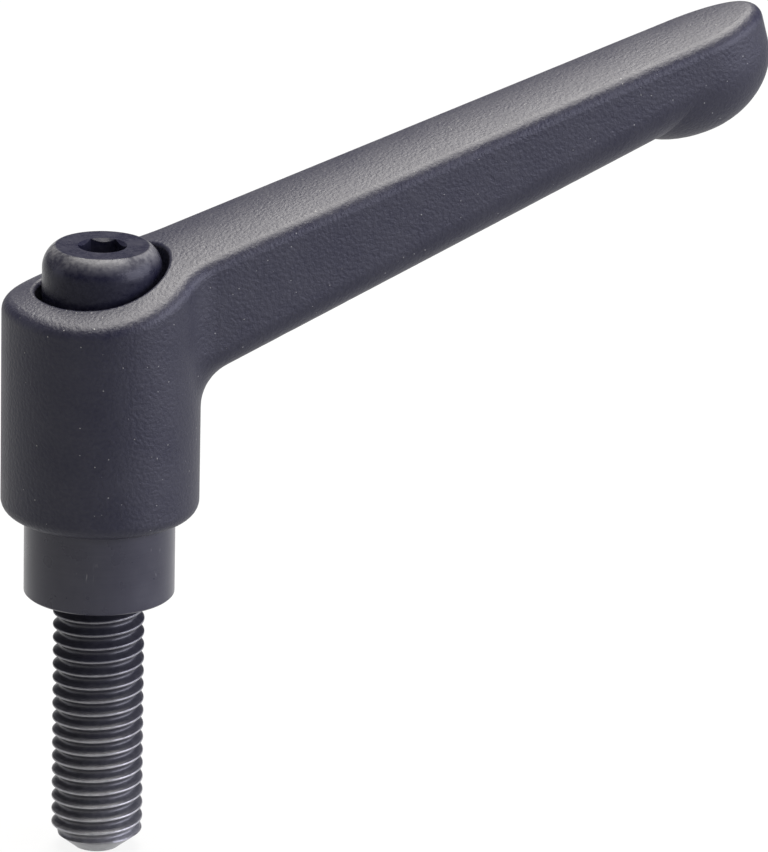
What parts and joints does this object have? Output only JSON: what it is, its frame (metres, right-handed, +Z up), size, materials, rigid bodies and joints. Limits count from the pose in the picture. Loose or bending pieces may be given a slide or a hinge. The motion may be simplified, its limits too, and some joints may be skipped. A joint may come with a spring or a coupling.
{
  "type": "adjustable clamping lever",
  "caption": "Black cast clamping lever on a serrated steel bush with a fixed threaded stud; lifted against a spring, it turns to a new position.",
  "frame": {"origin": "centre of the bush's lower face, which seats on the clamped work", "axes": "+Z up along the stud's axis, away from the work; +X along the lever's arm"},
  "size_m": [0.0885, 0.021, 0.0859],
  "materials": {
    "coated_zinc": "fine textured black powder coat",
    "blackened_steel": "smooth black oxide, turned",
    "stud_steel": "black oxide, rolled thread",
    "screw_steel": "satin black oxide",
    "spring_steel": "drawn spring wire"
  },
  "bodies": {
    "stud_assembly": {"threaded_stud": "stud_steel", "serrated_bush": "blackened_steel", "retaining_screw": "screw_steel"},
    "spring_carrier": {"return_spring": "spring_steel"},
    "lever": {"lever_handle": "coated_zinc"}
  },
  "joints": [
    {"name": "swivel", "type": "hinge", "parent": "stud_assembly", "child": "spring_carrier", "pos_m": [0, 0, 0], "axis": [0, 0, 1], "continuous": true},
    {"name": "lift", "type": "slide", "parent": "spring_carrier", "child": "lever", "axis": [0, 0, 1], "range_m": [0, 0.005], "stiffness_N_per_m": 2000, "springref_m": -0.004, "deforming": ["return_spring"]}
  ]
}
